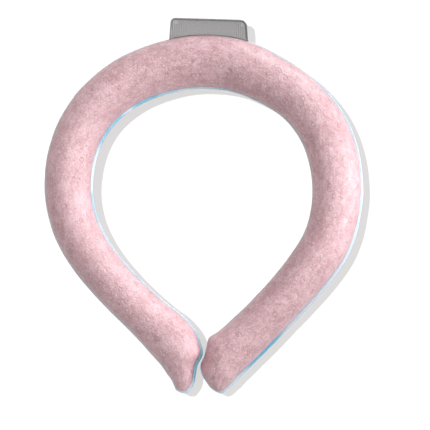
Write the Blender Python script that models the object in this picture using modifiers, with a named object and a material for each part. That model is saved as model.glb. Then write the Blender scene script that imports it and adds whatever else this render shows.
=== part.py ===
"""Cooling neck ring: a soft film tube filled with a wax that sets cold, bent into an open teardrop loop.

Two half-round films, a front and a back one, are welded flat along the tube's whole outline, and the
wax lies between them. A flat tab stands on the weld behind the wearer's neck.

Metres, +Z up. The ring lies flat with its back film on z = 0. Seen from above, +Y points to the tab and
the two free ends meet at -Y. The origin is the centre of the ring's box, at its base.
"""

import math

import bmesh
import bpy
import numpy as np

# The neck opening, measured between the tube's inner edges while the two free ends are held together
OPENING_WIDTH = 0.1104
OPENING_LENGTH = 0.1245
# How far the free ends spring apart. The whole ring gives way for it, most at its ends.
END_GAP = 0.0018

# The filled tube, across and through
TUBE_WIDTH = 0.0230
TUBE_HEIGHT = 0.0220
FILM_THICKNESS = 0.0008

# The flat weld between the two films, and how far its trimmed edge stands out of the tube. The trim sits
# a little off centre, so the edge is wider on the side that faces TRIM_HEADING, in degrees.
WELD_THICKNESS = 0.0008
WELD_LIP = 0.0006
TRIM_OFFSET = 0.0004
TRIM_HEADING = -30.0

# How much of the tube's narrow tips the wax leaves empty
WAX_END_MARGIN = 0.0070

# The tab on the weld behind the neck, and how far it stands above the tube
TAB_FOOT_WIDTH = 0.0394
TAB_TOP_WIDTH = 0.0384
TAB_RISE = 0.0080
TAB_THICKNESS = 0.0022
TAB_OFFSET = 0.0034
TAB_TILT = -1.7
TAB_CORNER_RADIUS = 0.0024
TAB_RIM_WIDTH = 0.0013
TAB_PANEL_DEPTH = 0.0003

# The gap left between pieces that touch
CLEARANCE = 0.0003

# How finely curves are cut into facets, and the angle from which an edge between facets shows as one
STEPS_PER_ROW = 2
SIDES = 20
CORNER_STEPS = 5
SHARP_FROM = 40.0

# Sections of the tube in order, from the tip of the left end, over the top, to the tip of the right end.
# x and y place the section's inner edge: x from the parting line between the two ends, as a share of half
# the opening's width, and y from the level where the opening is widest, as a share of its length.
# facing is the direction, in degrees, in which the section runs from its inner edge to its outer edge.
# width and height are shares of the tube's own.
SECTION_COLUMNS = ("x", "y", "facing", "width", "height")
SECTIONS = (
    (-0.125, -0.812, 175, 0.20, 0.22),
    (-0.070, -0.785, 187, 0.42, 0.42),
    (-0.060, -0.747, 194, 0.50, 0.62),
    (-0.040, -0.703, 199, 0.65, 0.80),
    (0.000, -0.668, 202, 0.83, 0.93),
    (-0.016, -0.622, 206, 0.94, 1.00),
    (-0.055, -0.576, 212, 1.02, 1.00),
    (-0.145, -0.526, 220, 1.03, 1.00),
    (-0.315, -0.466, 226, 0.95, 1.00),
    (-0.565, -0.366, 225, 0.91, 1.00),
    (-0.800, -0.245, 217, 0.93, 1.00),
    (-0.955, -0.115, 200, 0.97, 1.00),
    (-1.000, 0.015, 180, 0.99, 1.00),
    (-0.950, 0.145, 162, 1.00, 1.00),
    (-0.815, 0.255, 142, 1.00, 1.00),
    (-0.595, 0.335, 124, 1.04, 1.00),
    (-0.325, 0.385, 108, 1.07, 1.00),
    (-0.035, 0.405, 93, 1.11, 1.00),
    (0.245, 0.395, 78, 1.11, 1.00),
    (0.515, 0.350, 61, 1.05, 1.00),
    (0.750, 0.280, 45, 1.03, 1.00),
    (0.910, 0.180, 28, 1.05, 1.00),
    (0.985, 0.065, 9, 1.05, 1.00),
    (0.990, -0.065, -10, 1.03, 1.00),
    (0.920, -0.180, -26, 1.02, 1.00),
    (0.770, -0.285, -37, 0.98, 1.00),
    (0.545, -0.405, -43, 0.93, 1.00),
    (0.300, -0.515, -45, 0.94, 1.00),
    (0.125, -0.582, -45, 0.98, 1.00),
    (0.052, -0.605, -46, 1.01, 1.00),
    (0.032, -0.636, -46, 0.92, 1.00),
    (0.008, -0.679, -42, 0.81, 0.93),
    (-0.024, -0.715, -37, 0.72, 0.80),
    (-0.002, -0.753, -34, 0.54, 0.62),
    (0.042, -0.785, -32, 0.32, 0.40),
    (0.068, -0.802, -30, 0.19, 0.22),
)

# Name, base colour, roughness
PINK_FILM = ("pink_film", (0.80, 0.54, 0.58), 0.42)
BLUE_WELD = ("blue_weld", (0.50, 0.75, 0.86), 0.35)
PALE_WAX = ("pale_wax", (0.88, 0.72, 0.75), 0.60)
GREY_TAB = ("grey_tab", (0.32, 0.32, 0.32), 0.55)


def direction(degrees):
    """The unit vector in plan that points this way, or one for each of several angles."""
    angle = np.radians(degrees)
    return np.stack([np.cos(angle), np.sin(angle)], axis=-1)


def table_rows():
    """The table at its real size: inner edge x and y, facing in degrees, width and height."""
    x, y, facing, width, height = np.array(SECTIONS, float).T
    from_left_end = np.linspace(0.0, math.pi, len(SECTIONS))
    spread = -0.5 * END_GAP * np.cos(from_left_end)
    return np.column_stack(
        [
            x * 0.5 * OPENING_WIDTH + spread,
            y * OPENING_LENGTH,
            facing,
            width * TUBE_WIDTH,
            height * TUBE_HEIGHT,
        ]
    )


def inner_edge(stations):
    return stations[:, :2]


def outer_edge(stations):
    return stations[:, :2] + stations[:, 3:4] * direction(stations[:, 2])


def lengths_along(points):
    """How far each point lies from the first one, along the line through them."""
    hops = np.linalg.norm(np.diff(points, axis=0), axis=1)
    return np.concatenate([[0.0], np.cumsum(hops)])


def smooth_stations(rows, steps):
    """Stations on the smooth curve through the rows, with this many steps from each row to the next."""
    at = lengths_along(0.5 * (inner_edge(rows) + outer_edge(rows)))
    slopes = np.gradient(rows, at, axis=0)
    stations = []
    for i, gap in enumerate(np.diff(at)):
        for t in np.arange(steps) / steps:
            leaving = (1 + 2 * t) * (1 - t) ** 2 * rows[i] + t * (1 - t) ** 2 * gap * slopes[i]
            arriving = t * t * (3 - 2 * t) * rows[i + 1] - t * t * (1 - t) * gap * slopes[i + 1]
            stations.append(leaving + arriving)
    stations.append(rows[-1])
    return np.array(stations)


def profile_angles():
    """A section's corners, as angles that leave a flat facet at its top, at its foot and on each side."""
    return (np.arange(SIDES) + 0.5) * 2 * math.pi / SIDES


def material(name, colour, roughness):
    made = bpy.data.materials.get(name) or bpy.data.materials.new(name)
    made.use_nodes = True
    shader = made.node_tree.nodes["Principled BSDF"]
    shader.inputs["Base Color"].default_value = (*colour, 1.0)
    shader.inputs["Roughness"].default_value = roughness
    shader.inputs["Metallic"].default_value = 0.0
    return made


def add_object(name, data, finish, collection, place):
    made = bpy.data.objects.new(name, data)
    data.materials.append(material(*finish))
    made.location = place
    collection.objects.link(made)
    return made


def to_mesh(built, name):
    mesh = bpy.data.meshes.new(name)
    built.to_mesh(mesh)
    built.free()
    mesh.shade_smooth()
    mesh.set_sharp_from_angle(angle=math.radians(SHARP_FROM))
    return mesh


def loft(name, sections, closed_profile):
    """A mesh through sections of equal count, capped at both ends, its faces pointing out."""
    built = bmesh.new()
    rings = [[built.verts.new(point) for point in section] for section in sections]
    sides = len(rings[0])
    pairs = [(k, (k + 1) % sides) for k in range(sides if closed_profile else sides - 1)]
    for ring, following in zip(rings, rings[1:]):
        for k, after in pairs:
            built.faces.new((ring[k], ring[after], following[after], following[k]))
    built.faces.new(rings[0][::-1])
    built.faces.new(rings[-1])
    return to_mesh(built, name)


def offset_outline(outline, amount):
    """A clockwise outline moved outwards by an amount that may depend on which way its edge faces."""
    step = np.roll(outline, -1, axis=0) - outline
    step /= np.linalg.norm(step, axis=1)[:, None]
    edge_normals = np.column_stack([-step[:, 1], step[:, 0]])
    before = np.roll(edge_normals, 1, axis=0)
    normals = edge_normals + before
    normals /= np.linalg.norm(normals, axis=1)[:, None]
    mitre = (normals * before).sum(axis=1)
    return outline + (amount(normals) / mitre)[:, None] * normals


def tube_sections(outline, heights, corners, inset, split):
    """The tube's sections, each a row of corners counted from the outer edge over the top.

    They are inset all round, and their upper and lower halves stand apart by twice the split.
    """
    moved = offset_outline(outline, lambda normals: np.full(len(normals), -inset))
    outer = moved[: len(heights)]
    inner = moved[::-1][: len(heights)]
    to_corner = 1 / math.cos(math.pi / SIDES)
    across = to_corner * np.cos(corners)[:, None] * 0.5 * (outer - inner)[:, None]
    plan = 0.5 * (outer + inner)[:, None] + across
    up = to_corner * np.sin(corners) * (0.5 * heights - inset - split)[:, None]
    return np.dstack([plan, up + split * np.sign(up)])


def add_film(name, outline, heights, half_turn, collection, place):
    """One of the two half-round films. The front one lies above the weld, the back one half a turn round."""
    split = 0.5 * WELD_THICKNESS + CLEARANCE
    corners = profile_angles()[: SIDES // 2] + half_turn
    arches = tube_sections(outline, heights, corners, 0.0, split)
    feet = arches[:, [0, -1]] * [1, 1, 0] + [0, 0, split * math.cos(half_turn)]
    sections = np.concatenate([feet[:, :1], arches, feet[:, 1:]], axis=1)
    film = add_object(name, loft(name, sections, False), PINK_FILM, collection, place)
    wall = film.modifiers.new("wall", "SOLIDIFY")
    wall.thickness = FILM_THICKNESS
    wall.offset = -1.0
    wall.use_even_offset = True


def add_wax(outline, heights, collection, place):
    """The wax that fills the tube, clear of both films and of the narrow tips."""
    sections = tube_sections(outline, heights, profile_angles(), FILM_THICKNESS + CLEARANCE, 0.0)
    along = lengths_along(sections.mean(axis=1))
    filled = (along > WAX_END_MARGIN) & (along < along[-1] - WAX_END_MARGIN)
    add_object("wax_filling", loft("wax_filling", sections[filled], True), PALE_WAX, collection, place)


def lip_width(normals):
    """How far the weld's trimmed edge stands out of the tube where it faces this way."""
    return WELD_LIP + TRIM_OFFSET * (normals @ direction(TRIM_HEADING))


def bound_width(normals):
    """How far the weld reaches in under the films' walls."""
    return np.full(len(normals), -FILM_THICKNESS)


def add_weld(outline, collection, place):
    """The flat weld that runs round the whole tube, under the films' walls and just out of them."""
    curve = bpy.data.curves.new("weld_seam", "CURVE")
    curve.dimensions = "2D"
    curve.fill_mode = "BOTH"
    curve.extrude = 0.5 * WELD_THICKNESS
    for width in (lip_width, bound_width):
        edge = offset_outline(outline, width)
        spline = curve.splines.new("POLY")
        spline.points.add(len(edge) - 1)
        for point, (x, y) in zip(spline.points, edge):
            point.co = (x, y, 0.0, 1.0)
        spline.use_cyclic_u = True
    add_object("weld_seam", curve, BLUE_WELD, collection, place)


def tab_outline(outline):
    """The tab in plan, clockwise. Its foot runs along the weld's edge, and its top corners are rounded."""
    clear_of_weld = offset_outline(outline, lambda normals: lip_width(normals) + CLEARANCE)
    # The stretch over the top, where the outline runs from left to right
    seat = clear_of_weld[: len(outline) // 2]
    seat = seat[seat[:, 1] > 0.5 * seat[:, 1].max()]
    sides = np.array([-1, 1])
    feet_x = TAB_OFFSET + 0.5 * TAB_FOOT_WIDTH * sides
    feet = np.column_stack([feet_x, np.interp(feet_x, *seat.T)])
    foot_line = seat[(seat[:, 0] > feet_x[0]) & (seat[:, 0] < feet_x[1])]
    along = direction(TAB_TILT)
    up = direction(TAB_TILT + 90.0)
    top_middle = np.array([TAB_OFFSET, seat[:, 1].max()]) + TAB_RISE * up
    points = [feet[0]]
    for side, start in zip(sides, (180.0, 90.0)):
        corner_middle = top_middle + side * (0.5 * TAB_TOP_WIDTH - TAB_CORNER_RADIUS) * along
        corner_middle = corner_middle - TAB_CORNER_RADIUS * up
        turns = TAB_TILT + start - np.linspace(0.0, 90.0, CORNER_STEPS + 1)
        points.extend(corner_middle + TAB_CORNER_RADIUS * direction(turns))
    return np.array([*points, feet[1], *foot_line[::-1]])


def add_tab(outline, collection, place):
    """The flat tab: a plate with a shallow panel sunk inside its rim, front and back."""
    plate = bmesh.new()
    back = plate.faces.new([plate.verts.new((x, y, -0.5 * TAB_THICKNESS)) for x, y in outline])
    extruded = bmesh.ops.extrude_face_region(plate, geom=[back], use_keep_orig=True)["geom"]
    front = next(piece for piece in extruded if isinstance(piece, bmesh.types.BMFace))
    bmesh.ops.translate(plate, vec=(0.0, 0.0, TAB_THICKNESS), verts=front.verts)
    bmesh.ops.recalc_face_normals(plate, faces=plate.faces)
    for panel in (back, front):
        bmesh.ops.inset_region(
            plate,
            faces=[panel],
            thickness=TAB_RIM_WIDTH,
            depth=-TAB_PANEL_DEPTH,
            use_even_offset=True,
            use_boundary=True,
        )
    add_object("nape_tab", to_mesh(plate, "nape_tab"), GREY_TAB, collection, place)


def main():
    for old in list(bpy.data.objects):
        bpy.data.objects.remove(old)
    collection = bpy.data.collections.new("cooling_neck_ring")
    bpy.context.scene.collection.children.link(collection)

    stations = smooth_stations(table_rows(), STEPS_PER_ROW)
    outline = np.concatenate([outer_edge(stations), inner_edge(stations)[::-1]])
    # The smooth curve would overshoot the full height just where the ends' taper stops
    heights = np.minimum(stations[:, 4], TUBE_HEIGHT)
    tab = tab_outline(outline)
    plan = np.concatenate([offset_outline(outline, lip_width), tab])
    centre = 0.5 * (plan.min(axis=0) + plan.max(axis=0))
    place = (-centre[0], -centre[1], 0.5 * TUBE_HEIGHT)

    add_film("front_film", outline, heights, 0.0, collection, place)
    add_film("back_film", outline, heights, math.pi, collection, place)
    add_wax(outline, heights, collection, place)
    add_weld(outline, collection, place)
    add_tab(tab, collection, place)


main()
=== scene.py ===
"""The looks of a cooling neck ring that lies flat on a pale floor, seen from straight above.

Metres, +Z up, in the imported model's frame. The film halves, the weld's edge, the wax and the tab are
modelled again at a fine pitch, round the same table of sections that the solids have.
"""

import math

import bmesh
import bpy
import numpy as np
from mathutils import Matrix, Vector, noise


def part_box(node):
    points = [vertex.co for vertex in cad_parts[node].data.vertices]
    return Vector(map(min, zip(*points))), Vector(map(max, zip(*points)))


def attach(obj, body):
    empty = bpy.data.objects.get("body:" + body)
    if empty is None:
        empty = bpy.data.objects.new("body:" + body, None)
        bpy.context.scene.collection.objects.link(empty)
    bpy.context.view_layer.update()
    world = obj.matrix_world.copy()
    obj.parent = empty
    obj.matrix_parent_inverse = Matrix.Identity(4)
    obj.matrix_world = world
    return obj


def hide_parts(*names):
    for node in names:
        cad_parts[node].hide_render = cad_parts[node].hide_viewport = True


# The ring's own sizes
OPENING_WIDTH = 0.1104
OPENING_LENGTH = 0.1245
END_GAP = 0.0018
TUBE_WIDTH = 0.0230
TUBE_HEIGHT = 0.0220
FILM_THICKNESS = 0.0008
WELD_THICKNESS = 0.0008
WELD_LIP = 0.0006
TRIM_OFFSET = 0.0004
TRIM_HEADING = -30.0
WAX_END_MARGIN = 0.0070
TAB_FOOT_WIDTH = 0.0394
TAB_TOP_WIDTH = 0.0384
TAB_RISE = 0.0080
TAB_THICKNESS = 0.0022
TAB_OFFSET = 0.0034
TAB_TILT = -1.7
TAB_CORNER_RADII = (0.0024, 0.0036)
TAB_FOOT_GAP = 0.00006
TAB_EDGE_RADIUS = 0.0005
TAB_RIM_WIDTH = 0.0007
TAB_PANEL_STEP = 0.0003
TAB_PANEL_DEPTH = 0.0004
# How much lower the rim is on the panel's side than at its crest
TAB_CREST_DROP = 0.00008
# The foot's share of the rim's rounding, and how far down an edge of the outline faces there
TAB_FOOT_SHARE = 0.15
TAB_FOOT_FACING = -0.6
# A face of the tab larger than this is its panel
TAB_PANEL_AREA = 0.0001
# Painted highlights in the tab's top corners: small pale rings for glints on its rim
TAB_HIGHLIGHT_DOTS = ((-0.0137, 0.0918), (0.0195, 0.0905))
CLEARANCE = 0.0003
MID_HEIGHT = 0.5 * TUBE_HEIGHT

# Sections of the tube, from the tip of the left end, over the top, to the tip of the right end. x is the
# inner edge's place as a share of half the opening's width, y as a share of its length. facing is the
# direction, in degrees, from inner to outer edge. width and height are shares of the tube's own.
SECTION_COLUMNS = ("x", "y", "facing", "width", "height")
SECTIONS = (
    (-0.136, -0.820, 164, 0.19, 0.22),
    (-0.082, -0.787, 187, 0.35, 0.42),
    (-0.060, -0.747, 194, 0.475, 0.62),
    (-0.040, -0.703, 199, 0.65, 0.80),
    (0.000, -0.668, 202, 0.83, 0.93),
    (-0.016, -0.622, 206, 0.94, 1.00),
    (-0.055, -0.576, 212, 1.02, 1.00),
    (-0.145, -0.526, 220, 1.03, 1.00),
    (-0.315, -0.466, 226, 0.95, 1.00),
    (-0.565, -0.366, 225, 0.91, 1.00),
    (-0.800, -0.245, 217, 0.93, 1.00),
    (-0.955, -0.115, 200, 0.97, 1.00),
    (-1.000, 0.015, 180, 0.99, 1.00),
    (-0.950, 0.145, 162, 1.00, 1.00),
    (-0.815, 0.255, 142, 1.00, 1.00),
    (-0.595, 0.335, 124, 1.04, 1.00),
    (-0.325, 0.385, 108, 1.07, 1.00),
    (-0.035, 0.405, 93, 1.11, 1.00),
    (0.245, 0.395, 78, 1.11, 1.00),
    (0.515, 0.350, 61, 1.05, 1.00),
    (0.750, 0.280, 45, 1.03, 1.00),
    (0.910, 0.180, 28, 1.05, 1.00),
    (0.985, 0.065, 9, 1.05, 1.00),
    (0.990, -0.065, -10, 1.03, 1.00),
    (0.920, -0.180, -26, 1.02, 1.00),
    (0.770, -0.285, -37, 0.98, 1.00),
    (0.545, -0.405, -43, 0.93, 1.00),
    (0.300, -0.515, -45, 0.94, 1.00),
    (0.125, -0.582, -45, 0.98, 1.00),
    (0.052, -0.605, -46, 1.01, 1.00),
    (0.032, -0.636, -46, 0.92, 1.00),
    (0.008, -0.679, -42, 0.81, 0.93),
    (-0.024, -0.715, -37, 0.72, 0.80),
    (-0.002, -0.753, -34, 0.54, 0.62),
    (0.042, -0.785, -32, 0.32, 0.40),
    (0.068, -0.802, -30, 0.19, 0.22),
)

# Pitch of the fine meshes, along the tube and round it
PITCH = 0.0009
ROUND_STEPS = 44
# Length of the tube and half its girth, and how far the frost on it is drawn out lengthwise
TUBE_RUN = 0.43
TUBE_GIRTH = 0.035
FROST_STRETCH = 2.2
# The last stretch of each tip, which rounds over
TIP_ROUNDING = 0.0008
TIP_STEPS = 7
# Steps round the weld's trimmed edge, a corner of the tab and the tab's rounded rim
WELD_STEPS = 8
CORNER_STEPS = 12
RIM_STEPS = 6
# Points nearer than this are merged, and a turn whose sine is less than this is level
MERGE_DISTANCE = 1e-6
LEVEL = 1e-9
# Angles, in degrees, from which an edge is sharp
WELD_SHARP_FROM = 50.0
TAB_SHARP_FROM = 35.0

# Height and wavelength of the swells that the wax leaves in the film, widest first
SWELLS = ((0.00026, 0.015), (0.00012, 0.0055), (0.00005, 0.0022))
# Pleats where the film gathers towards the tips: depth, how many round half the tube, how far they reach
PLEAT_DEPTH = 0.00008
PLEAT_COUNT = 7
PLEAT_REACH = 0.020
# The film's foot, where it flares out onto the weld
FLARE = 0.00010
FLARE_HEIGHT = 0.0008
# How narrow the stretch is along the tube's foot that has no swells
FOOT_FLATNESS = 12
# How unevenly the weld's edge is trimmed, and over what length
TRIM_WOBBLE = 0.00016
TRIM_WAVE = 0.012
# How much wider the trimmed edge is drawn on the side that the trim leans to
TRIM_EXTRA = 0.00035
# Where the weld is pinched and looks deeper blue: x, y and how far it reaches
PINCHED_PLACES = (
    (-0.0478, 0.0389, 0.014),
    (-0.0290, 0.0540, 0.011),
    (-0.0033, -0.0796, 0.012),
    (0.0300, -0.0720, 0.018),
    (0.0230, -0.0560, 0.014),
)

# The two colours that each finish runs between, and those of what is drawn over them
FILM_PINKS = ((0.56, 0.305, 0.335), (0.84, 0.565, 0.605))
FLECK_AND_GLINT_PINK = (0.95, 0.80, 0.83)
BUBBLE_PINK = (0.42, 0.22, 0.25)
THIN_FILM_AND_SHADE_PINK = (0.66, 0.27, 0.33)
WELD_BLUES = ((0.58, 0.74, 0.85), (0.17, 0.52, 0.72))
WAX_PINKS = ((0.74, 0.50, 0.54), (0.90, 0.74, 0.77))
PANEL_GREYS = ((0.34, 0.34, 0.34), (0.43, 0.43, 0.43))
DOT_HIGHLIGHT_GREY = (0.62, 0.62, 0.62)
# The rim's greys are darker for painted shade on its rounded edge
RIM_SHADE_GREYS = ((0.20, 0.20, 0.20), (0.27, 0.27, 0.27))
FLOOR_GREYS = ((0.245, 0.245, 0.243), (0.255, 0.255, 0.253))
# Pitch of the tab's ribs, the middle between its ends, and where the ribs begin and are full, from there
RIB_PITCH = 0.0011
RIB_MIDDLE = 0.0026
RIB_FADE = (0.008, 0.018)
HIGHLIGHT_DOT_RADIUS = 0.0007

# The photograph's frame: 430 by 430 pixels, its middle below and right of the ring's own
PIXEL = 0.0005
FRAME_PIXELS = 430
VIEW_CENTRE = (0.00575, -0.0046)
CAMERA_DISTANCE = 1.6
SENSOR = 0.036
FLOOR_REACH = 3.0

# Pools of light straight down on the ring: name, x, y, strength and spread in degrees
POOL_HEIGHT = 0.15
POOLS = (
    ("pool_left", -0.068, 0.003, 0.32, 40.0),
    ("pool_upper_left", -0.047, 0.048, 0.28, 40.0),
    ("pool_right", 0.070, 0.000, 0.40, 40.0),
    ("pool_end", -0.016, -0.073, 0.62, 26.0),
)
POOL_LAMP_RADIUS = 0.05
# The sky's strength, by how far a direction points up: from the first height to the second one
SKY_HEIGHTS = (-0.10, 0.45)
SKY_STRENGTHS = (0.08, 0.52)


def direction(degrees):
    """The unit vector in plan that points this way, or one for each of several angles."""
    angle = np.radians(degrees)
    return np.stack([np.cos(angle), np.sin(angle)], axis=-1)


def lengths_along(points):
    """How far each point lies from the first one, along the line through them."""
    hops = np.linalg.norm(np.diff(points, axis=0), axis=1)
    return np.concatenate([[0.0], np.cumsum(hops)])


def outer_edge(rows):
    return rows[:, :2] + rows[:, 3:4] * direction(rows[:, 2])


def table_rows():
    """The table at its real size: inner edge x and y, facing in degrees, width and height."""
    shares = dict(zip(SECTION_COLUMNS, np.array(SECTIONS, float).T))
    from_left_end = np.linspace(0.0, math.pi, len(SECTIONS))
    spread = -0.5 * END_GAP * np.cos(from_left_end)
    return np.column_stack(
        [
            shares["x"] * 0.5 * OPENING_WIDTH + spread,
            shares["y"] * OPENING_LENGTH,
            shares["facing"],
            shares["width"] * TUBE_WIDTH,
            shares["height"] * TUBE_HEIGHT,
        ]
    )


def smooth_rows(pitch):
    """Rows at an even pitch on the smooth curve through the table, closer together over the rounded tips.

    Returns them with the distance of each from the left tip.
    """
    rows = table_rows()
    at = lengths_along(0.5 * (rows[:, :2] + outer_edge(rows)))
    slopes = np.gradient(rows, at, axis=0)
    over_tip = TIP_ROUNDING * (1.0 - np.cos(np.linspace(0.0, 0.5 * math.pi, TIP_STEPS + 1)))
    count = round((at[-1] - 2 * TIP_ROUNDING) / pitch)
    between = np.linspace(TIP_ROUNDING, at[-1] - TIP_ROUNDING, count + 1)[1:-1]
    where = np.concatenate([over_tip, between, at[-1] - over_tip[::-1]])
    i = np.clip(np.searchsorted(at, where, side="right") - 1, 0, len(at) - 2)
    gap = (at[i + 1] - at[i])[:, None]
    t = (where - at[i])[:, None] / gap
    leaving = (1 + 2 * t) * (1 - t) ** 2 * rows[i] + t * (1 - t) ** 2 * gap * slopes[i]
    arriving = t * t * (3 - 2 * t) * rows[i + 1] - t * t * (1 - t) * gap * slopes[i + 1]
    smooth = leaving + arriving
    smooth[:, 4] = np.minimum(smooth[:, 4], TUBE_HEIGHT)
    return smooth, where


def offset_outline(outline, amount):
    """A clockwise outline moved outwards by an amount that may depend on which way its edge faces."""
    step = np.roll(outline, -1, axis=0) - outline
    step /= np.linalg.norm(step, axis=1)[:, None]
    edge_normals = np.column_stack([-step[:, 1], step[:, 0]])
    before = np.roll(edge_normals, 1, axis=0)
    normals = edge_normals + before
    normals /= np.linalg.norm(normals, axis=1)[:, None]
    mitre = (normals * before).sum(axis=1)
    return outline + (amount(normals) / mitre)[:, None] * normals


def lip_width(normals):
    """How far the weld's trimmed edge stands out of the tube where it faces this way."""
    return WELD_LIP + TRIM_OFFSET * (normals @ direction(TRIM_HEADING))


def noise_at(points, wave):
    """Soft random numbers from -1 to 1 at these points, that change over this wavelength."""
    flat = points.reshape(-1, 3) / wave
    return np.array([noise.noise(Vector(point)) for point in flat]).reshape(points.shape[:-1])


def surface_through(rings):
    """A smooth surface through rings of points. It closes where points meet."""
    rows, columns = len(rings) - 1, len(rings[0]) - 1
    built = bmesh.new()
    built.loops.layers.uv.new("UVMap")
    bmesh.ops.create_grid(built, x_segments=rows, y_segments=columns, size=1.0, calc_uvs=True)
    for vert in built.verts:
        row = round(0.5 * (vert.co.x + 1.0) * rows)
        column = round(0.5 * (vert.co.y + 1.0) * columns)
        vert.co = rings[row][column]
    bmesh.ops.remove_doubles(built, verts=built.verts, dist=MERGE_DISTANCE)
    bmesh.ops.reverse_faces(built, faces=built.faces)
    return built


def new_piece(name, built, finishes):
    """An object from a bmesh, with its finishes and its place on the ring."""
    mesh = bpy.data.meshes.new(name)
    built.to_mesh(mesh)
    built.free()
    mesh.shade_smooth()
    piece = bpy.data.objects.new(name, mesh)
    bpy.context.scene.collection.objects.link(piece)
    for finish in finishes:
        mesh.materials.append(finish)
    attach(piece, "root")
    return piece


class Tube:
    """The filled tube: where its edges run, and places on its skin."""

    def __init__(self, pitch):
        rows, along = smooth_rows(pitch)
        outer = outer_edge(rows)
        inner = rows[:, :2]
        # The weld's box gives the ring's place in the frame
        trimmed = offset_outline(np.concatenate([outer, inner[::-1]]), lip_width)
        low, high = (np.array(corner[:2]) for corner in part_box("weld_seam"))
        self.place = 0.5 * (low + high) - 0.5 * (trimmed.min(axis=0) + trimmed.max(axis=0))
        self.middle = 0.5 * (outer + inner) + self.place
        self.reach = 0.5 * (outer - inner)
        self.heights = rows[:, 4]
        self.from_tip = np.minimum(along, along[-1] - along)
        over = np.clip(1.0 - self.from_tip / TIP_ROUNDING, 0.0, 1.0)
        self.rounding = np.sqrt(1.0 - over * over)

    def outline(self):
        """The plan outline, clockwise, with its tips rounded as the tube is."""
        reach = self.reach * self.rounding[:, None]
        return np.concatenate([self.middle + reach, (self.middle - reach)[-2:0:-1]])

    def skin(self, turns, inset, split):
        """Places on the skin at these turns from the outer edge over the top, and their outward directions.

        The skin is inset all round, and its upper and lower halves stand apart by twice the split.
        """
        across, up = np.cos(turns), np.sin(turns)
        side = np.sign(up) * (np.abs(up) > LEVEL)
        width = np.linalg.norm(self.reach, axis=1)
        outwards = self.reach / width[:, None]
        half_width = (width - inset) * self.rounding
        half_height = (0.5 * self.heights - inset - split) * self.rounding
        plan = self.middle[:, None] + (half_width[:, None] * across)[..., None] * outwards[:, None]
        rise = split * side + half_height[:, None] * up
        points = np.concatenate([plan, (MID_HEIGHT + rise)[..., None]], axis=2)
        facing = np.empty_like(points)
        facing[..., :2] = across[:, None] * outwards[:, None]
        facing[..., 2] = up
        return points, facing


def add_film(name, node, tube, side, finish):
    """A film half, above or below the weld: its skin with all that the wax and the weld do to it."""
    turns = np.linspace(0.0, side * math.pi, ROUND_STEPS + 1)
    split = 0.5 * WELD_THICKNESS + CLEARANCE
    points, facing = tube.skin(turns, 0.0, split)
    up = np.abs(np.sin(turns))
    points[..., 2] = np.where(up < LEVEL, MID_HEIGHT + side * split, points[..., 2])
    stand = sum(depth * noise_at(points, wave) for depth, wave in SWELLS)
    gather = np.exp(-((tube.from_tip / PLEAT_REACH) ** 2))[:, None] * up
    stand = stand - PLEAT_DEPTH * gather * (1.0 + np.cos(2 * PLEAT_COUNT * turns))
    above_weld = np.abs(points[..., 2] - MID_HEIGHT) - split
    stand = stand + FLARE * np.exp(-((above_weld / FLARE_HEIGHT) ** 2))
    if side < 0:
        # The foot stays flat on the floor
        stand = stand * (1.0 - up**FOOT_FLATNESS)
    points = points + (stand * tube.rounding[:, None])[..., None] * facing
    skin = surface_through(points if side > 0 else points[::-1])
    film = new_piece(name, skin, [finish])
    wall = film.modifiers.new("wall", "SOLIDIFY")
    wall.thickness = FILM_THICKNESS
    wall.offset = -1.0
    wall.use_even_offset = False
    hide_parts(node)


def add_wax(tube, finish):
    """The set wax inside the films."""
    turns = np.linspace(0.0, 2 * math.pi, ROUND_STEPS + 1)
    points, _ = tube.skin(turns, FILM_THICKNESS + CLEARANCE, 0.0)
    kept = tube.from_tip > WAX_END_MARGIN
    points = points[kept]
    centres = points[:, :-1].mean(axis=1)
    caps = [np.tile(centres[end], (len(turns), 1)) for end in (0, -1)]
    points = np.concatenate([[caps[0]], points, [caps[1]]])
    wax = new_piece("wax_core", surface_through(points), [finish])
    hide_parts("wax_filling")


def add_weld(tube, finish):
    """The weld: a thin ribbon round the tube whose trimmed edge is rounded and a little uneven."""
    outline = tube.outline()
    half = 0.5 * WELD_THICKNESS
    flat = np.column_stack([outline, np.zeros(len(outline))])
    wobble = TRIM_WOBBLE * noise_at(flat, TRIM_WAVE)
    bound = offset_outline(outline, lambda normals: np.full(len(normals), -FILM_THICKNESS))

    def trimmed(normals):
        leaning = np.clip(normals @ direction(TRIM_HEADING), 0.0, 1.0)
        return lip_width(normals) + TRIM_EXTRA * leaning + wobble

    rim = offset_outline(outline, trimmed)
    across = (rim - bound) / np.linalg.norm(rim - bound, axis=1)[:, None]
    profile = [(bound, half)]
    for turn in np.radians(np.linspace(90.0, -90.0, WELD_STEPS + 1)):
        back = half * (1.0 - math.cos(turn))
        profile.append((rim - back * across, half * math.sin(turn)))
    profile += [(bound, -half), (bound, half)]
    rings = np.array([np.column_stack([line, np.full(len(line), MID_HEIGHT + z)]) for line, z in profile])
    rings = np.concatenate([rings, rings[:, :1]], axis=1)
    weld = new_piece("weld_edge", surface_through(rings), [finish])
    weld.data.set_sharp_from_angle(angle=math.radians(WELD_SHARP_FROM))
    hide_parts("weld_seam")


def tab_seat(tube):
    """The line just off the weld's edge that the tab's foot runs along, from left to right."""
    edge = offset_outline(tube.outline(), lambda normals: lip_width(normals) + TAB_FOOT_GAP)
    edge = edge[: len(tube.middle)]
    return edge[edge[:, 1] > 0.5 * edge[:, 1].max()]


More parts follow.
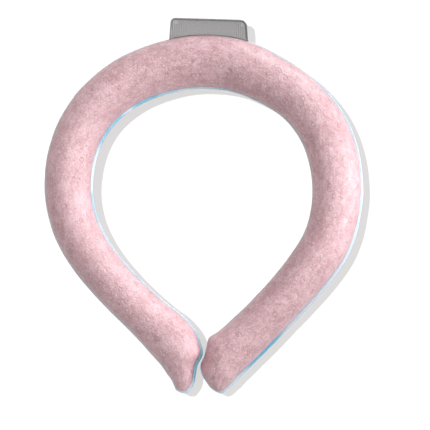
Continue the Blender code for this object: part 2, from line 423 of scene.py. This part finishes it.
def tab_outline(tube):
    """The tab in plan, clockwise. Its foot runs along the weld's edge, and its top corners are rounded."""
    seat = tab_seat(tube) - tube.place
    sides = np.array([-1, 1])
    feet_x = TAB_OFFSET + 0.5 * TAB_FOOT_WIDTH * sides
    feet = np.column_stack([feet_x, np.interp(feet_x, *seat.T)])
    foot_line = seat[(seat[:, 0] > feet_x[0] + PITCH) & (seat[:, 0] < feet_x[1] - PITCH)]
    along = direction(TAB_TILT)
    up = direction(TAB_TILT + 90.0)
    top_middle = np.array([TAB_OFFSET, seat[:, 1].max()]) + TAB_RISE * up
    points = [feet[0]]
    for side, start, radius in zip(sides, (180.0, 90.0), TAB_CORNER_RADII):
        corner_middle = top_middle + side * (0.5 * TAB_TOP_WIDTH - radius) * along - radius * up
        turns = TAB_TILT + start - np.linspace(0.0, 90.0, CORNER_STEPS + 1)
        points.extend(corner_middle + radius * direction(turns))
    return np.array([*points, feet[1], *foot_line[::-1]]) + tube.place


def add_tab(tube, panel_finish, rim_shade_finish):
    """The tab: a plate with a rounded rim round a panel that is sunk a little, front and back."""
    outline = tab_outline(tube)
    half = 0.5 * TAB_THICKNESS
    profile = [
        (TAB_RIM_WIDTH + TAB_PANEL_STEP, half - TAB_PANEL_DEPTH),
        (TAB_RIM_WIDTH, half - TAB_CREST_DROP),
    ]
    for turn in np.radians(np.linspace(90.0, 0.0, RIM_STEPS + 1)):
        run = TAB_EDGE_RADIUS * (1.0 - math.cos(turn))
        profile.append((run, half - TAB_EDGE_RADIUS * (1.0 - math.sin(turn))))
    profile += [(run, -rise) for run, rise in profile[::-1]]
    rings = []
    for run, rise in profile:

        def drawn_in(normals):
            # The foot keeps a crisp edge, so that it closes on the weld
            return -run * np.where(normals[:, 1] < TAB_FOOT_FACING, TAB_FOOT_SHARE, 1.0)

        line = offset_outline(outline, drawn_in)
        ring = np.column_stack([line, np.full(len(line), MID_HEIGHT + rise)])
        rings.append(np.concatenate([ring, ring[:1]]))
    plate = surface_through(rings)
    bmesh.ops.holes_fill(plate, edges=[edge for edge in plate.edges if edge.is_boundary], sides=0)
    bmesh.ops.recalc_face_normals(plate, faces=plate.faces)
    plate.normal_update()
    seat = tab_seat(tube)
    for face in plate.faces:
        centre = face.calc_center_median()
        above_foot = centre.y - np.interp(centre.x, *seat.T)
        at_foot = above_foot < TAB_RIM_WIDTH + TAB_PANEL_STEP
        # The rim's faces take the darker grey of painted shade; the foot and the panel keep the panel's
        # grey
        face.material_index = 0 if at_foot or face.calc_area() > TAB_PANEL_AREA else 1
    piece = new_piece("tab_plate", plate, [panel_finish, rim_shade_finish])
    piece.data.set_sharp_from_angle(angle=math.radians(TAB_SHARP_FROM))
    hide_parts("nape_tab")


class Finish:
    """A material whose nodes are added one after another."""

    def __init__(self, name):
        self.material = bpy.data.materials.new(name)
        self.material.use_nodes = True
        self.nodes = self.material.node_tree.nodes
        self.links = self.material.node_tree.links
        self.shader = self.nodes["Principled BSDF"]
        self.place = self.nodes.new("ShaderNodeTexCoord").outputs["Object"]

    def put(self, socket, value):
        if isinstance(value, bpy.types.NodeSocket):
            self.links.new(value, socket)
        else:
            socket.default_value = value

    def set(self, **values):
        """Values for the shader's own sockets, named in lower case with underscores."""
        for name, value in values.items():
            self.put(self.shader.inputs[name.replace("_", " ").title().replace("Ior", "IOR")], value)

    def on_sheet(self, length, breadth):
        """Places on a surface that was made as a sheet, whose sides are brought to these lengths."""
        node = self.nodes.new("ShaderNodeMapping")
        self.links.new(self.nodes.new("ShaderNodeUVMap").outputs["UV"], node.inputs["Vector"])
        node.inputs["Scale"].default_value = (length, breadth, 1.0)
        return node.outputs["Vector"]

    def noise(self, wave, detail=2.0, roughness=0.5, distortion=0.0, place=None):
        """Soft random blotches of this wavelength, about 0.5 on average."""
        node = self.nodes.new("ShaderNodeTexNoise")
        self.links.new(place or self.place, node.inputs["Vector"])
        node.inputs["Scale"].default_value = 1.0 / wave
        node.inputs["Detail"].default_value = detail
        node.inputs["Roughness"].default_value = roughness
        node.inputs["Distortion"].default_value = distortion
        return node.outputs["Fac"]

    def cells(self, wave):
        """Distance from the nearest of many scattered points, and a random number for each of them."""
        node = self.nodes.new("ShaderNodeTexVoronoi")
        self.links.new(self.place, node.inputs["Vector"])
        node.inputs["Scale"].default_value = 1.0 / wave
        split = self.nodes.new("ShaderNodeSeparateColor")
        self.links.new(node.outputs["Color"], split.inputs["Color"])
        return node.outputs["Distance"], split.outputs["Red"]

    def math(self, operation, first, second=0.0):
        node = self.nodes.new("ShaderNodeMath")
        node.operation = operation
        self.put(node.inputs[0], first)
        self.put(node.inputs[1], second)
        return node.outputs["Value"]

    def total(self, *terms):
        """The sum of pairs of a value and its weight."""
        whole = self.math("MULTIPLY", *terms[0])
        for value, weight in terms[1:]:
            whole = self.math("ADD", whole, self.math("MULTIPLY", value, weight))
        return whole

    def ramp(self, value, low, high, to_low=0.0, to_high=1.0):
        """Value brought from low..high to to_low..to_high, and held there beyond."""
        node = self.nodes.new("ShaderNodeMapRange")
        node.interpolation_type = "SMOOTHSTEP"
        self.put(node.inputs["Value"], value)
        node.inputs["From Min"].default_value = low
        node.inputs["From Max"].default_value = high
        node.inputs["To Min"].default_value = to_low
        node.inputs["To Max"].default_value = to_high
        return node.outputs["Result"]

    def mix(self, share, first, second):
        """From the first colour to the second one."""
        node = self.nodes.new("ShaderNodeMix")
        node.data_type = "RGBA"
        self.put(node.inputs["Factor"], share)
        colour_sockets = [socket for socket in node.inputs if socket.type == "RGBA"]
        for socket, colour in zip(colour_sockets, (first, second)):
            self.put(socket, colour if isinstance(colour, bpy.types.NodeSocket) else (*colour, 1.0))
        return next(socket for socket in node.outputs if socket.type == "RGBA")

    def distance_from(self, centre):
        """How far a point is from this place."""
        node = self.nodes.new("ShaderNodeVectorMath")
        node.operation = "DISTANCE"
        self.links.new(self.place, node.inputs[0])
        node.inputs[1].default_value = centre
        return node.outputs["Value"]

    def height(self):
        """How high a point lies."""
        node = self.nodes.new("ShaderNodeSeparateXYZ")
        self.links.new(self.place, node.inputs["Vector"])
        return node.outputs["Z"]

    def bump(self, height, depth):
        node = self.nodes.new("ShaderNodeBump")
        node.inputs["Distance"].default_value = depth
        node.inputs["Strength"].default_value = 1.0
        self.links.new(height, node.inputs["Height"])
        self.links.new(node.outputs["Normal"], self.shader.inputs["Normal"])


def frosted_film():
    """Cloudy pink film: blotches of the wax below it, fine frost, pale flecks that are partly crystal
    specks and partly painted glints, small round bubbles, and a deeper pink along the weld that is partly
    painted shade.
    """
    film = Finish("frosted_film")
    cloud = film.noise(0.011, detail=2.0, roughness=0.55)
    blotch = film.noise(0.0034, detail=3.0, roughness=0.65, distortion=0.8)
    curl = film.noise(0.0015, detail=2.0, roughness=0.6, distortion=1.6)
    grain = film.noise(0.0008, detail=2.0, roughness=0.7)
    drawn = film.on_sheet(TUBE_RUN / FROST_STRETCH, TUBE_GIRTH)
    streak = film.noise(0.0019, detail=3.0, roughness=0.6, distortion=0.5, place=drawn)
    tone = film.total((cloud, 0.20), (blotch, 0.24), (streak, 0.30), (curl, 0.28), (grain, 0.34))
    pale = film.ramp(tone, 0.54, 0.82)
    colour = film.mix(pale, *FILM_PINKS)
    # Pale flecks: partly crystal specks in the film, partly painted glints
    fleck_and_glint_distance, fleck_and_glint_kind = film.cells(0.0014)
    fleck_and_glint = film.ramp(fleck_and_glint_distance, 0.36, 0.20)
    fleck_and_glint = film.math("MULTIPLY", fleck_and_glint, film.ramp(fleck_and_glint_kind, 0.74, 0.80))
    colour = film.mix(film.math("MULTIPLY", fleck_and_glint, 0.55), colour, FLECK_AND_GLINT_PINK)
    bubble_distance, bubble_kind = film.cells(0.0046)
    ring = film.ramp(film.math("ABSOLUTE", film.math("SUBTRACT", bubble_distance, 0.26)), 0.075, 0.0)
    ring = film.math("MULTIPLY", ring, film.ramp(bubble_kind, 0.58, 0.62))
    colour = film.mix(film.math("MULTIPLY", ring, 0.40), colour, BUBBLE_PINK)
    # Deeper pink near the weld: the thinner film there, and painted shade along the tube's edge
    from_weld = film.math("ABSOLUTE", film.math("SUBTRACT", film.height(), MID_HEIGHT))
    colour = film.mix(film.ramp(from_weld, 0.0024, 0.0006, 0.0, 0.70), colour, THIN_FILM_AND_SHADE_PINK)
    relief = film.total(
        (blotch, 0.6), (streak, 0.4), (curl, 0.35), (grain, 0.26), (ring, -0.3), (fleck_and_glint, 0.2)
    )
    film.bump(relief, 0.0006)
    film.set(
        base_color=colour,
        roughness=film.ramp(grain, 0.3, 0.7, 0.38, 0.56),
        subsurface_weight=0.12,
        subsurface_radius=(0.0030, 0.0014, 0.0014),
        subsurface_scale=1.0,
        specular_ior_level=0.7,
        coat_weight=0.35,
        coat_roughness=0.36,
    )
    return film.material


def welded_edge():
    """The pale blue edge of the weld, deeper blue where the film is pinched."""
    edge = Finish("welded_edge")
    fine = edge.noise(0.0016, detail=2.0)
    deep = edge.ramp(edge.noise(0.020, detail=1.0), 0.56, 0.66, 0.0, 0.5)
    for x, y, reach in PINCHED_PLACES:
        pinch = edge.ramp(edge.distance_from((x, y, MID_HEIGHT)), reach, 0.4 * reach)
        deep = edge.math("MAXIMUM", deep, pinch)
    colour = edge.mix(deep, *WELD_BLUES)
    edge.set(
        base_color=colour,
        roughness=edge.ramp(fine, 0.3, 0.7, 0.22, 0.38),
        subsurface_weight=0.2,
        subsurface_radius=(0.001, 0.002, 0.003),
        coat_weight=0.4,
        coat_roughness=0.15,
    )
    edge.bump(fine, 0.00012)
    return edge.material


def set_wax():
    """Set wax: pale pink, dull and faintly crystalline."""
    wax = Finish("set_wax")
    crystals = wax.noise(0.0028, detail=4.0, roughness=0.7, distortion=0.6)
    wax.set(
        base_color=wax.mix(wax.ramp(crystals, 0.35, 0.65), *WAX_PINKS),
        roughness=wax.ramp(crystals, 0.3, 0.7, 0.50, 0.70),
        subsurface_weight=0.3,
        subsurface_radius=(0.004, 0.002, 0.002),
    )
    wax.bump(crystals, 0.0003)
    return wax.material


def ribbed_grey():
    """Mid grey tab panel with faint upright ribs that show most near its two ends, and painted highlights
    in its top corners.
    """
    grey = Finish("ribbed_grey")
    split = grey.nodes.new("ShaderNodeSeparateXYZ")
    grey.links.new(grey.place, split.inputs["Vector"])
    ribs = grey.math("SINE", grey.math("MULTIPLY", split.outputs["X"], 2 * math.pi / RIB_PITCH))
    from_middle = grey.math("ABSOLUTE", grey.math("SUBTRACT", split.outputs["X"], RIB_MIDDLE))
    at_ends = grey.ramp(from_middle, *RIB_FADE, 0.15, 1.0)
    ribs = grey.math("MULTIPLY", ribs, at_ends)
    grain = grey.noise(0.0009, detail=3.0, roughness=0.7)
    tone = grey.math("ADD", grey.math("MULTIPLY", ribs, 0.12), grain)
    colour = grey.mix(grey.ramp(tone, 0.2, 0.8), *PANEL_GREYS)
    # Painted highlights: pale rings at the top corners that stand in for glints on the rim
    for x, y in TAB_HIGHLIGHT_DOTS:
        from_highlight_dot = grey.distance_from((x, y, MID_HEIGHT + 0.5 * TAB_THICKNESS))
        off_highlight_ring = grey.math("ABSOLUTE", grey.math("SUBTRACT", from_highlight_dot, HIGHLIGHT_DOT_RADIUS))
        highlight_dot = grey.ramp(off_highlight_ring, 0.0006, 0.0001, 0.0, 0.6)
        colour = grey.mix(highlight_dot, colour, DOT_HIGHLIGHT_GREY)
    grey.set(
        base_color=colour,
        roughness=grey.ramp(grain, 0.3, 0.7, 0.48, 0.66),
    )
    relief = grey.math("ADD", grey.math("MULTIPLY", ribs, 0.5), grain)
    grey.bump(relief, 0.00012)
    return grey.material


def shaded_rim_grey():
    """The tab's rim, painted darker than its panel: painted shade on its rounded edge."""
    rim = Finish("shaded_rim_grey")
    grain = rim.noise(0.0012, detail=3.0, roughness=0.6)
    rim.set(
        base_color=rim.mix(rim.ramp(grain, 0.3, 0.7), *RIM_SHADE_GREYS),
        roughness=rim.ramp(grain, 0.3, 0.7, 0.40, 0.55),
    )
    rim.bump(grain, 0.0001)
    return rim.material


def add_floor():
    """A plain pale floor."""
    built = bmesh.new()
    bmesh.ops.create_grid(built, x_segments=1, y_segments=1, size=FLOOR_REACH)
    mesh = bpy.data.meshes.new("floor")
    built.to_mesh(mesh)
    built.free()
    floor = bpy.data.objects.new("floor", mesh)
    bpy.context.scene.collection.objects.link(floor)
    finish = Finish("pale_floor")
    colour = finish.mix(finish.noise(0.25, detail=1.0), *FLOOR_GREYS)
    finish.set(base_color=colour, roughness=0.9, specular_ior_level=0.0)
    mesh.materials.append(finish.material)
    # The bright floor would light the ring's undersides more than the photograph shows
    floor.visible_diffuse = False
    return floor


def add_sun(name, heading, elevation, strength, angle, lit, blockers=None):
    """A distant lamp whose light comes from this heading and elevation, in degrees."""
    data = bpy.data.lights.new(name, "SUN")
    data.energy = strength
    data.angle = math.radians(angle)
    lamp = bpy.data.objects.new(name, data)
    tilt = math.radians(90.0 - elevation)
    lamp.rotation_euler = (0.0, tilt, math.radians(heading))
    lamp.location = (0.0, 0.0, 1.0)
    bpy.context.scene.collection.objects.link(lamp)
    lamp.light_linking.receiver_collection = lit
    if blockers is not None:
        lamp.light_linking.blocker_collection = blockers


def group(name, objects):
    """A collection that only says which objects a lamp treats."""
    made = bpy.data.collections.new(name)
    for item in objects:
        made.objects.link(item)
    return made


def add_pool(name, place, towards, strength, spread, lit):
    """A soft pool of light from one place towards another, on the ring alone."""
    data = bpy.data.lights.new(name, "SPOT")
    data.energy = strength
    data.shadow_soft_size = POOL_LAMP_RADIUS
    data.spot_size = math.radians(spread)
    data.spot_blend = 1.0
    lamp = bpy.data.objects.new(name, data)
    lamp.location = place
    aim = Vector(towards) - Vector(place)
    lamp.rotation_euler = aim.to_track_quat("-Z", "Y").to_euler()
    bpy.context.scene.collection.objects.link(lamp)
    lamp.light_linking.receiver_collection = lit


def add_lights(floor, pieces):
    """Low soft light on the ring from the right, pools on its sides, and a steep sun for the shadow.

    The floor has its own lamps, so that it stays plain white right up to the shadow's edge.
    """
    on_floor = group("lit_floor", [floor])
    on_ring = group("lit_ring", pieces)
    add_sun("key", heading=60.0, elevation=10.0, strength=2.15, angle=30.0, lit=on_ring)
    add_sun("side", heading=0.0, elevation=28.0, strength=1.60, angle=30.0, lit=on_ring)
    for name, x, y, strength, spread in POOLS:
        add_pool(name, (x, y, POOL_HEIGHT), (x, y, 0.0), strength, spread, on_ring)
    right_edge = (0.078, 0.005, MID_HEIGHT)
    add_pool("rim_right", (0.230, 0.015, 0.090), right_edge, strength=0.50, spread=44.0, lit=on_ring)
    add_sun("shadow_caster", heading=150.0, elevation=67.5, strength=5.3, angle=1.8, lit=on_floor)
    # Only the floor itself blocks this lamp, so that it casts no shadow
    add_sun(
        "floor_fill", heading=0.0, elevation=90.0, strength=7.8, angle=10.0, lit=on_floor, blockers=on_floor
    )


def add_world():
    """Even white light from above, dim from below."""
    world = bpy.data.worlds.new("soft_studio")
    world.use_nodes = True
    nodes, links = world.node_tree.nodes, world.node_tree.links
    upwards = nodes.new("ShaderNodeSeparateXYZ")
    links.new(nodes.new("ShaderNodeTexCoord").outputs["Generated"], upwards.inputs["Vector"])
    strength = nodes.new("ShaderNodeMapRange")
    links.new(upwards.outputs["Z"], strength.inputs["Value"])
    strength.inputs["From Min"].default_value, strength.inputs["From Max"].default_value = SKY_HEIGHTS
    strength.inputs["To Min"].default_value, strength.inputs["To Max"].default_value = SKY_STRENGTHS
    links.new(strength.outputs["Result"], nodes["Background"].inputs["Strength"])
    nodes["Background"].inputs["Color"].default_value = (1.0, 1.0, 1.0, 1.0)
    bpy.context.scene.world = world


def add_camera():
    """A long lens straight above, framed as the photograph is at the height of the weld."""
    data = bpy.data.cameras.new("camera")
    data.sensor_width = SENSOR * 1000.0
    data.lens = SENSOR * 1000.0 * CAMERA_DISTANCE / (FRAME_PIXELS * PIXEL)
    data.clip_end = 10.0
    camera = bpy.data.objects.new("camera", data)
    camera.location = (*VIEW_CENTRE, MID_HEIGHT + CAMERA_DISTANCE)
    bpy.context.scene.collection.objects.link(camera)
    bpy.context.scene.camera = camera


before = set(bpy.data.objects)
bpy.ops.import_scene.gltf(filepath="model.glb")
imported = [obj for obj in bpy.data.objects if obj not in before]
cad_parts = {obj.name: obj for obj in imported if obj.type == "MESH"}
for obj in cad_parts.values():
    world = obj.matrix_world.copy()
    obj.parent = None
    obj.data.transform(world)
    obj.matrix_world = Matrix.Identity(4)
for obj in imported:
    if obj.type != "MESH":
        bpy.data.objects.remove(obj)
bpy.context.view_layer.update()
add_camera()
tube = Tube(PITCH)
film_finish = frosted_film()
add_film("front_film_skin", "front_film", tube, 1, film_finish)
add_film("back_film_skin", "back_film", tube, -1, film_finish)
add_weld(tube, welded_edge())
add_wax(tube, set_wax())
add_tab(tube, ribbed_grey(), shaded_rim_grey())
bpy.context.scene.view_settings.view_transform = "Standard"
floor = add_floor()
add_lights(floor, [item for item in bpy.data.objects if item.type == "MESH" and item is not floor])
add_world()
